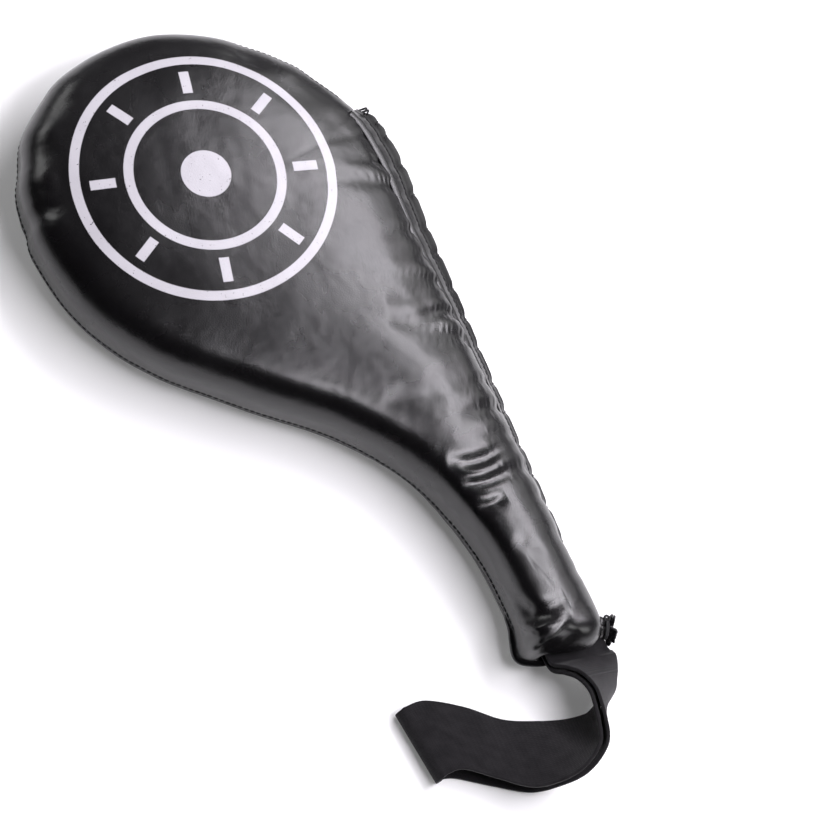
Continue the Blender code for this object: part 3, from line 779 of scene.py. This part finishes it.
class Skin:
    """Finds the body's real surface, so threads lie on it."""

    def __init__(self, body):
        self.tree = BVHTree.FromPolygons(
            [tuple(v.co) for v in body.data.vertices],
            [tuple(p.vertices) for p in body.data.polygons])

    def onto(self, point, clear):
        """The surface's nearest place to a point, raised off it by a distance."""
        place, normal, _, _ = self.tree.find_nearest(Vector(point))
        return np.array(place + normal * clear)


SIDE_STITCH_PITCH = 3.3 * MM
SIDE_STITCH_RADIUS = 0.42 * MM


def arch(part):
    """Height of a stitch along its run, 0 at both ends and 1 in the middle."""
    return 1 - (2 * part - 1) ** 2


def make_side_stitches(skin):
    """Machine stitches beside the seam, from the head's right round the left to the handle."""
    run = (SIDE_THREAD_END - SIDE_THREAD_START) * PERIMETER
    bits = []
    for k in range(int(run / SIDE_STITCH_PITCH)):
        path = []
        for part in (0.08, 0.3, 0.55, 0.8, 0.92):
            share = SIDE_THREAD_START + (k + part) * SIDE_STITCH_PITCH / PERIMETER
            point = surface_points(share, seam_height(outline_at(share)) + SIDE_THREAD_RISE, 0.0)
            path.append(skin.onto(point, (-0.12 + 0.42 * arch(part)) * MM))
        bits.append(tube(path, SIDE_STITCH_RADIUS, 6, 0.5))
    dress(joined("side_stitches", bits), thread_material(), "thread", "side_thread")


# ---- closing lip ----

LIP_STEP = 1.1 * MM
LIP_COLUMNS = 13
STITCH_COLUMN = 6
PLY_THICKNESS = 1.0 * MM
UPPER_ROOT_RISE = 8 * MM
UPPER_ROOT_TOP = THICKNESS - 2.6 * MM
LOWER_ROOT_DROP = 2.2 * MM
ROOT_SUNK = 2.2 * MM
LIP_STITCH_PITCH = 3.2 * MM
LIP_STITCH_START = 4.0 * MM
LIP_STITCH_RADIUS = 0.32 * MM
HAND_THREAD_STEPS = 12
HAND_THREAD_RADIUS = 0.5 * MM
HEAVY_THREAD_RADIUS = 0.62 * MM


def lip_grid(lower):
    """Grid of one ply of the lip: it leaves its panel near the seam and runs out to the edge."""
    shares = np.arange(LIP_END, LIP_START, LIP_STEP / PERIMETER)
    points, outward = outline_frames(shares)
    seam = seam_height(points)
    stitches = np.array(hand_stitch_shares())
    apart = np.abs(shares[:, None] - stitches[None]).min(axis=1) * PERIMETER
    loose = 1 - bell(apart, 2.6 * MM)
    ends = smooth_step((shares - LIP_END) / 0.03) * smooth_step((LIP_START - shares) / 0.012)
    wander = np.array([noise.noise(Vector((s * 160, 3.0 if lower else 9.0, 0))) for s in shares])
    side = -1 if lower else 1
    leave = seam - LOWER_ROOT_DROP if lower else np.minimum(seam + UPPER_ROOT_RISE, UPPER_ROOT_TOP)
    start = surface_points(shares, leave, 0.0)
    width = LIP_WIDTH * (0.82 + 0.18 * loose + 0.05 * wander) * (0.9 if lower else 1.0) * ends
    tip = surface_points(shares, seam, width)
    tip[:, 2] += side * (0.62 + 0.35 * loose + 0.15 * wander + (0 if lower else 0.8)) * MM
    bend = start * 0.45 + tip * 0.55
    bend[:, 2] = tip[:, 2] + (0.35 if lower else 0.2) * (leave - tip[:, 2])
    out = at_height(outward, np.zeros(len(shares)))
    rise = np.clip((leave - THICKNESS + EDGE_RADIUS) / EDGE_RADIUS, 0, 1)[:, None]
    normal = out * np.sqrt(1 - rise ** 2) + rise * np.array((0.0, 0.0, 1.0))
    grid = np.empty((len(shares), LIP_COLUMNS, 3))
    grid[:, 0] = start - out * ROOT_SUNK - normal * 0.8 * MM
    for column, part in enumerate(np.linspace(0, 1, LIP_COLUMNS - 1), 1):
        grid[:, column] = (1 - part) ** 2 * start + 2 * part * (1 - part) * bend + part ** 2 * tip
        grid[:, column] -= normal * 0.62 * MM * (1 - part) ** 3
        grid[:, column, 2] -= side * 0.4 * MM * bell(column - STITCH_COLUMN, 0.9)
    return grid


def make_lip():
    for name, lower, nodes in (("lip_upper_ply", False, ["closing_lip"]), ("lip_lower_ply", True, [])):
        dress(slab(name, lip_grid(lower), PLY_THICKNESS), leather("lip_leather"), "lip_leather", *nodes)


def make_lip_stitches():
    """Machine stitches along the lip's upper ply, in the valley beside the seam."""
    grid = lip_grid(False)
    normals = -grid_normals(grid)
    normals *= np.sign(normals[:, :, 2:3])
    bits = []
    start = LIP_STITCH_START
    while start < (len(grid) - 6) * LIP_STEP:
        path = []
        for part in (0.06, 0.3, 0.55, 0.8, 0.94):
            place = (start + part * LIP_STITCH_PITCH * 0.86) / LIP_STEP
            low = int(place)
            t = place - low
            point = grid[low, STITCH_COLUMN] * (1 - t) + grid[low + 1, STITCH_COLUMN] * t
            path.append(point + normals[low, STITCH_COLUMN] * (0.36 + 0.34 * arch(part)) * MM)
        bits.append(tube(path, LIP_STITCH_RADIUS, 6, 0.5))
        start += LIP_STITCH_PITCH
    dress(joined("lip_stitches", bits), thread_material(), "thread", "lip_thread")


def hand_wrap(share, shift):
    """Path of one slanted wrap of the hand thread over the lip's edge."""
    path = []
    for k in range(HAND_THREAD_STEPS + 1):
        part = k / HAND_THREAD_STEPS - 0.5
        turn = math.pi * part * 1.2
        here = share + (part * 3.4 * MM + shift) / PERIMETER
        reach = LIP_WIDTH * 0.82 - 1.3 * MM + math.cos(turn) * 2.0 * MM
        point = surface_points(here, seam_height(outline_at(here)), reach)
        point[2] += 0.5 * MM - math.sin(turn) * 2.1 * MM
        path.append(point)
    return path


def make_hand_stitches():
    """The heavier hand thread: one wrap at each place, and two at each of the close ones."""
    bits = []
    for index, share in enumerate(hand_stitch_shares()):
        if index < len(CLOSE_STITCHES):
            for strand in (-0.6, 0.6):
                bits.append(tube(hand_wrap(share, strand * 1.2 * MM), HEAVY_THREAD_RADIUS, 8, 0.3))
        else:
            bits.append(tube(hand_wrap(share, 0.0), HAND_THREAD_RADIUS, 8, 0.3))
    dress(joined("hand_stitches", bits), thread_material(), "thread", "hand_thread")


# ---- end of the handle ----

FOLD_START = 0.440
FOLD_END = 0.494
FOLD_THICKNESS = 0.9 * MM
FOLD_TURN = 2.5  # radians that the leather is rolled through

# Radius and height in millimetres up the gathered leather, from inside the handle to its loose ends
TAIL_LEVELS = [(5.0, -5.0), (5.7, -3.2), (6.0, -1.7), (5.3, -0.3), (4.5, 0.8), (4.4, 1.6), (5.0, 2.4),
               (6.2, 3.5), (7.1, 4.7), (6.9, 5.6), (5.6, 5.7), (3.6, 5.0), (0.9, 4.2)]
TAIL_SIDES = 96
TAIL_PLEATS = [(4, 0.10), (7, 0.11), (11, 0.05)]
TAIL_FLATTEN = 0.92
CORD_TURNS = 2.1
CORD_START = 2.2
CORD_STEPS = 72
CORD_RADIUS = 0.62 * MM
CORD_REACH_MM = 5.15
KNOT_REACH_MM = 5.7
KNOT_STEPS = 24


def make_end_fold():
    """Leather rolled back beside the seam at the handle's corner."""
    shares = np.linspace(FOLD_START, FOLD_END, 70)
    seam = seam_height(outline_at(shares))
    t = np.linspace(0, 1, len(shares))
    grow = smooth_step(t / 0.6) * smooth_step((1 - t) / 0.2)
    sunk = 1.3 * (1 - smooth_step(t / 0.35)) + 1.0 * (1 - smooth_step((1 - t) / 0.15))
    wave = np.array([noise.noise(Vector((s * 190, 1.7, 4.0))) for s in shares])
    columns = []
    for part in np.linspace(0, 1, 9):
        reach = (0.1 + (0.9 + 0.9 * grow + 0.4 * wave) * math.sin(part * FOLD_TURN) - sunk) * MM
        z = seam + (2.0 - 3.6 * part * (0.6 + 0.4 * grow) + 0.5 * wave * part) * MM
        columns.append(surface_points(shares, z, reach))
    fold = slab("end_fold_leather", np.stack(columns, axis=1), FOLD_THICKNESS)
    dress(fold, leather("lip_leather"), "lip_leather", "end_fold")


def tail_point(height, turn, radius, flatten=1.0):
    """A point round the tail's axis, with its height and radius in millimetres."""
    offset = (radius * math.cos(turn), radius * flatten * math.sin(turn), height)
    return TAIL_BASE + offset @ TAIL_FRAME * MM


def make_tail():
    """Gathered leather: a pleated waist under the cord and loose folded ends beyond it."""
    levels = catmull(np.array(TAIL_LEVELS), 4, False)
    spread = random.Random(5)
    pleats = [(count, spread.uniform(0, 6.28), strength) for count, strength in TAIL_PLEATS]
    points = []
    for radius, height in levels:
        flare = smooth_step((height - 1.2) / 4)
        for k in range(TAIL_SIDES):
            turn = 2 * math.pi * k / TAIL_SIDES
            ripple = sum(strength * math.sin(count * turn + phase + 0.15 * height)
                         for count, phase, strength in pleats)
            end = 0.7 * flare * (math.sin(2 * turn + 0.6) + 0.6 * math.sin(5 * turn + 2.0))
            out = radius * (1 + ripple * (0.7 + 1.0 * flare))
            points.append(tail_point(height + end, turn, out, TAIL_FLATTEN))
    tail = new_object("gathered_leather", points, loft_faces(len(levels), TAIL_SIDES))
    dress(tail, leather("lip_leather"), "lip_leather", "gathered_tail")


def make_tail_cord():
    """Two turns of cord round the gather's waist, with a knot and two short ends."""
    path = []
    for k in range(CORD_STEPS + 1):
        turn = 2 * math.pi * CORD_TURNS * k / CORD_STEPS + CORD_START
        radius = CORD_REACH_MM + 0.25 * math.sin(3 * turn)
        path.append(tail_point(0.4 + 1.7 * k / CORD_STEPS, turn, radius, TAIL_FLATTEN))
    bits = [tube(path, CORD_RADIUS)]
    knot = tail_point(1.3, CORD_START + 2 * math.pi * 0.05, KNOT_REACH_MM)
    loop = [(1.3 * math.cos(turn), 0.4 + 0.6 * math.sin(2 * turn), 1.5 * math.sin(turn))
            for turn in np.linspace(0, 3 * math.pi, KNOT_STEPS + 1)]
    bits.append(tube(knot + loop @ TAIL_FRAME * MM, 0.6 * MM))
    for lean in (-0.5, 0.6):
        end = [(4 * lean * t, 1.2 - 2.2 * t * t, 0.5 + 3.0 * t) for t in np.linspace(0, 1, 9)]
        bits.append(tube(knot + end @ TAIL_FRAME * MM, 0.5 * MM, 8, 0.2))
    dress(joined("tail_cord", bits), thread_material(), "thread", "tail_binding")


# ---- webbing ----

def edge_pairs(points_mm, widths_mm=STRAP_WIDTH / MM):
    """Both edges of the webbing in metres, each pair moved apart to the webbing's width."""
    low, high = np.array(points_mm, float).transpose(1, 0, 2) * MM
    middle = (low + high) / 2
    width = np.broadcast_to(np.asarray(widths_mm) * MM, len(low))[:, None]
    half = (high - low) / np.linalg.norm(high - low, axis=1, keepdims=True) * width / 2
    return np.stack([middle - half, middle + half], axis=1)


def moved_pairs(pairs, offset):
    """Edge pairs moved along the band's normals by an offset."""
    along = np.gradient(pairs, axis=0)
    across = (pairs[:, 1] - pairs[:, 0])[:, None]
    normals = np.cross(np.broadcast_to(across, along.shape), along)
    normals /= np.linalg.norm(normals, axis=2, keepdims=True)
    return pairs + normals * offset


def root_pairs(rise):
    """The webbing's stretch inside the handle, at a height off the board's middle."""
    centres = [MOUTH_CENTRE - MOUTH_ALONG * depth + (0, 0, rise) for depth in ROOT_DEPTHS]
    half = MOUTH_ACROSS * STRAP_ROOT_WIDTH / 2
    return np.array([(centre + half, centre - half) for centre in centres])


def loop_end_pairs(upper, lower):
    """The half turn that joins the loop's two layers at its far end."""
    pairs = []
    for k in range(1, LOOP_END_STEPS):
        turn = math.pi * k / LOOP_END_STEPS
        pair = []
        for top, bottom in zip(upper, lower):
            middle = (top + bottom) / 2
            reach = np.linalg.norm(top - bottom) / 2
            rise = (top - bottom) / np.linalg.norm(top - bottom)
            depth = LOOP_END_GAP + math.sin(turn) * max(reach, LOOP_END_REACH)
            pair.append(middle + rise * reach * math.cos(turn) + LOOP_END_AWAY * depth)
        pairs.append(pair)
    return np.array(pairs)


def band(name, pairs, start, end, steps=8, columns=14):
    """A band of webbing through edge pairs, kept between two places counted in pairs."""
    curve = catmull(pairs.reshape(len(pairs), 6), steps, False).reshape(-1, 2, 3)
    curve = curve[round(start * steps):round(end * steps) + 1]
    shares = np.linspace(0, 1, columns)
    grid = curve[:, :1] * (1 - shares)[None, :, None] + curve[:, 1:] * shares[None, :, None]
    middle = grid[:, columns // 2]
    length = float(np.linalg.norm(np.diff(middle, axis=0), axis=1).sum())
    piece = slab(name, grid, STRAP_THICKNESS, (STRAP_WIDTH, length))
    piece.data.materials.append(webbing_material())
    return piece


def make_webbing():
    """The loop: two roots out of the handle, and one band that runs out and comes back."""
    near = edge_pairs(NEAR_STRAP_MM, NEAR_WIDTHS_MM)
    far = edge_pairs(FAR_STRAP_MM)
    upper_open = edge_pairs(OPEN_UPPER_MM)
    lower_open = edge_pairs(OPEN_LOWER_MM)
    offset = (STRAP_THICKNESS + STRAP_LAYER_GAP) / 2
    whole = np.concatenate([near, far])
    inner = np.concatenate([root_pairs(-ROOT_RISE), moved_pairs(whole, offset), upper_open])
    outer = np.concatenate([root_pairs(ROOT_RISE), moved_pairs(whole, -offset), lower_open])
    for name, pairs, nodes in (
            ("webbing_root_inner", inner, ("strap_end_lower", "strap_near_inner")),
            ("webbing_root_outer", outer, ("strap_end_upper", "strap_near_outer"))):
        piece = band(name, pairs, 0, CUT)
        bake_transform(piece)
        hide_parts(*nodes)
    turned = loop_end_pairs(upper_open[-1], lower_open[-1])
    loop = np.concatenate([inner, turned, outer[::-1]])
    piece = band("webbing_loop", loop, CUT, len(loop) - 1 - CUT)
    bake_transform(piece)
    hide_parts("strap_far_upper", "strap_far_lower", "strap_loop_end")


# ---- materials ----

class Nodes:
    """Adds and links the shader nodes of one material or world."""

    def __init__(self, owner):
        owner.use_nodes = True
        self.owner = owner
        self.tree = owner.node_tree

    def plug(self, socket, value):
        """Link another node's output into a socket, or set the socket's own value."""
        if isinstance(value, bpy.types.NodeSocket):
            self.tree.links.new(value, socket)
        else:
            socket.default_value = value

    def add(self, kind, inputs=(), **settings):
        node = self.tree.nodes.new("ShaderNode" + kind)
        for key, value in settings.items():
            setattr(node, key, value)
        for key, value in dict(inputs).items():
            self.plug(node.inputs[key], value)
        return node

    def place(self):
        return self.add("TexCoord").outputs["Object"]

    def noise(self, place, scale, detail):
        return self.add("TexNoise", {"Vector": place, "Scale": scale, "Detail": detail}).outputs["Fac"]

    def stripes(self, place, direction, scale, distortion):
        inputs = {"Vector": place, "Scale": scale, "Distortion": distortion, "Detail": 2.0,
                  "Detail Scale": 2.0}
        return self.add("TexWave", inputs, wave_type="BANDS", bands_direction=direction).outputs["Fac"]

    def math(self, operation, a, b=0.0):
        return self.add("Math", {0: a, 1: b}, operation=operation).outputs[0]

    def weighted(self, *terms):
        """Sum of values, each times its weight."""
        total = 0.0
        for value, weight in terms:
            total = self.math("ADD", total, self.math("MULTIPLY", value, weight))
        return total

    def remap(self, value, low, high, to_low=0.0, to_high=1.0):
        """The range from low to high, stretched to the range from to_low to to_high, and held there."""
        inputs = {"Value": value, "From Min": low, "From Max": high, "To Min": to_low, "To Max": to_high}
        return self.add("MapRange", inputs).outputs[0]

    def ramp(self, value, *stops):
        """Colour between two stops, each a position and a colour."""
        node = self.add("ValToRGB", {"Fac": value})
        for element, (position, colour) in zip(node.color_ramp.elements, stops):
            element.position = position
            element.color = (*colour, 1)
        return node.outputs["Color"]

    def mix(self, factor, a, b):
        """Colour a at factor 0 and colour b at factor 1."""
        a, b = [(*colour, 1) if isinstance(colour, tuple) else colour for colour in (a, b)]
        return self.add("Mix", {0: factor, 6: a, 7: b}, data_type="RGBA").outputs[2]

    def set(self, name, sockets):
        """Set sockets of a node that was there from the start."""
        for socket, value in sockets.items():
            self.plug(self.tree.nodes[name].inputs[socket], value)
        return self.owner

    def finish(self, height, strength, distance, looks):
        """Bump the surface and set the shader's sockets."""
        bump = self.add("Bump", {"Height": height, "Strength": strength, "Distance": distance})
        return self.set("Principled BSDF", {"Normal": bump.outputs[0], **looks})


RINGS = [(64.0, 69.0), (37.0, 42.0), (0.0, 13.0)]
TICK_REACH = (46.5, 59.5)
TICK_HALF_WIDTH = 2.6
PRINT_TURN = 0.24
PRINT_BLUR = 0.18 * MM
PRINT_LOWEST = 36 * MM


def between(nodes, value, low_mm, high_mm):
    """1 where value lies between low and high, with soft edges."""
    rise = nodes.remap(value, low_mm * MM - PRINT_BLUR, low_mm * MM + PRINT_BLUR)
    fall = nodes.remap(value, high_mm * MM - PRINT_BLUR, high_mm * MM + PRINT_BLUR, 1.0, 0.0)
    return nodes.math("MULTIPLY", rise, fall)


def target_print(nodes, position):
    """Mask of a plain target: two rings, a centre disc and eight ticks, on the striking face."""
    x, y, z = nodes.add("SeparateXYZ", {0: position}).outputs
    radius = nodes.math("SQRT", nodes.weighted((x, x), (y, y)))
    mask = 0.0
    for low, high in RINGS:
        mask = nodes.math("MAXIMUM", mask, between(nodes, radius, low, high))
    reach = between(nodes, radius, *TICK_REACH)
    for k in range(4):
        turn = PRINT_TURN + math.pi * k / 4
        across = nodes.math("ABSOLUTE", nodes.weighted((x, math.cos(turn)), (y, math.sin(turn))))
        bar = between(nodes, across, -TICK_HALF_WIDTH, TICK_HALF_WIDTH)
        mask = nodes.math("MAXIMUM", mask, nodes.math("MULTIPLY", bar, reach))
    return nodes.math("MULTIPLY", mask, nodes.remap(z, PRINT_LOWEST, PRINT_LOWEST + 1 * MM))


@cache
def leather(name, printed=False):
    """Black faux leather: creased grain with painted shade in its valleys, satin sheen, faint scuffs, and the
    print on the cover.
    """
    nodes = Nodes(bpy.data.materials.new(name))
    position = nodes.place()
    warp = nodes.add("TexNoise", {"Vector": position, "Scale": 240.0, "Detail": 3.0})
    bent = nodes.add("VectorMath", {0: warp.outputs["Color"], 1: (0.0016, 0.0016, 0.0016), 2: position},
                     operation="MULTIPLY_ADD")
    cells = nodes.add("TexVoronoi", {"Vector": bent.outputs[0], "Scale": 820.0}, feature="DISTANCE_TO_EDGE")
    pebble = nodes.remap(cells.outputs["Distance"], 0.0, 0.16)
    drawn_out = nodes.add("Mapping", {"Vector": position, "Rotation": (0, 0, 0.5), "Scale": (1.0, 0.38, 1.0)})
    creases = nodes.add("TexNoise", {"Vector": drawn_out.outputs[0], "Scale": 210.0, "Detail": 3.0,
                                     "Roughness": 0.55, "Lacunarity": 2.2},
                        noise_type="RIDGED_MULTIFRACTAL")
    broad = nodes.noise(position, 26.0, 4.0)
    height = nodes.weighted((pebble, 0.45), (nodes.noise(position, 2600.0, 2.0), 0.35),
                            (creases.outputs["Fac"], 0.35))
    base = nodes.ramp(broad, (0.3, (0.0032, 0.0029, 0.0033)), (0.7, (0.0050, 0.0045, 0.0050)))
    # Painted shade: where pebble is low, in the valleys between the grain's cells, the colour is mixed
    # towards a darker black.
    shade = nodes.mix(nodes.math("MULTIPLY", pebble, 0.7), (0.0026, 0.0023, 0.0028), base)
    rough = nodes.remap(broad, 0.3, 0.7, 0.23, 0.30)
    if printed:
        speck = nodes.remap(nodes.noise(position, 900.0, 4.0), 0.27, 0.33)
        mask = nodes.math("MULTIPLY", target_print(nodes, position), speck)
        ink = nodes.ramp(broad, (0.3, (0.47, 0.455, 0.49)), (0.7, (0.54, 0.525, 0.56)))
        shade = nodes.mix(mask, shade, ink)
        rough = nodes.weighted((rough, 1.0), (mask, 0.12))
    return nodes.finish(height, 0.17, 0.00032, {
        "Base Color": shade, "Roughness": rough, "Specular IOR Level": 0.5, "Coat Weight": 0.12,
        "Coat Roughness": 0.2})


@cache
def thread_material():
    """Black bonded thread with a twist, and painted highlight and shade along the twist's bands."""
    nodes = Nodes(bpy.data.materials.new("thread_black"))
    position = nodes.place()
    inputs = {"Vector": position, "Scale": 900.0, "Distortion": 1.5, "Detail": 1.0}
    twist = nodes.add("TexWave", inputs, wave_type="BANDS", bands_direction="DIAGONAL").outputs["Fac"]
    height = nodes.weighted((twist, 1.0), (nodes.noise(position, 5200.0, 2.0), 0.5))
    # Painted highlight and shade: the twist's bands, which also raise the bump, are lighter on the ridges and
    # darker in the grooves.
    shade = nodes.ramp(twist, (0.0, (0.004, 0.004, 0.005)), (1.0, (0.013, 0.013, 0.014)))
    return nodes.finish(height, 0.6, 0.0002, {"Base Color": shade, "Roughness": 0.62})


@cache
def webbing_material():
    """Soft black webbing: a fine plain weave with painted highlight on its raised crossings, and a mottled,
    slightly dusty nap.
    """
    nodes = Nodes(bpy.data.materials.new("webbing_black"))
    place = nodes.add("UVMap", uv_map="band").outputs[0]
    warp = nodes.stripes(place, "X", 290.0, 0.6)
    weave = nodes.math("MULTIPLY", warp, nodes.stripes(place, "Y", 210.0, 0.8))
    mottle = nodes.add("TexNoise", {"Vector": place, "Scale": 150.0, "Detail": 5.0, "Roughness": 0.65})
    height = nodes.weighted((weave, 1.0), (nodes.noise(place, 3000.0, 3.0), 0.7))
    yarn = nodes.ramp(mottle.outputs["Fac"], (0.32, (0.005, 0.0045, 0.0055)), (0.68, (0.013, 0.012, 0.0135)))
    # Painted highlight: where the weave rises, where warp and weft cross, the yarn is mixed towards a lighter
    # black.
    shade = nodes.mix(nodes.math("MULTIPLY", weave, 0.22), yarn, (0.014, 0.013, 0.015))
    return nodes.finish(height, 0.4, 0.0003, {
        "Base Color": shade, "Roughness": 0.92, "Specular IOR Level": 0.18, "Sheen Weight": 0.12,
        "Sheen Roughness": 0.5})


def board_material():
    """Pressed grey-black fibre board, inside the cover."""
    nodes = Nodes(bpy.data.materials.new("pressed_board"))
    position = nodes.place()
    fibre = nodes.noise(position, 420.0, 5.0)
    flecks = nodes.add("TexVoronoi", {"Vector": position, "Scale": 300.0}).outputs["Distance"]
    tone = nodes.weighted((fibre, 0.7), (flecks, 0.3))
    shade = nodes.ramp(tone, (0.3, (0.05, 0.05, 0.05)), (0.7, (0.12, 0.12, 0.12)))
    return nodes.finish(fibre, 0.3, 0.0004, {"Base Color": shade, "Roughness": 0.7})


def dress_inner_parts():
    """Materials for the CAD nodes that stay, inside the cover."""
    looks = {"core_board": board_material(), "anchor_thread_upper": thread_material(),
             "anchor_thread_lower": thread_material()}
    for node, material in looks.items():
        piece = bpy.data.objects[node]
        for place in piece.material_slots:
            place.material = material
        if not piece.material_slots:
            piece.data.materials.append(material)


# ---- the scene ----

bpy.context.scene.view_settings.view_transform = "Standard"
add_camera()
add_floor()
add_world()
for light in LIGHTS:
    add_light(*light)

body = make_body()
skin = Skin(body)
make_side_stitches(skin)
make_lip()
make_lip_stitches()
make_hand_stitches()
make_end_fold()
make_tail()
make_tail_cord()
make_webbing()
dress_inner_parts()
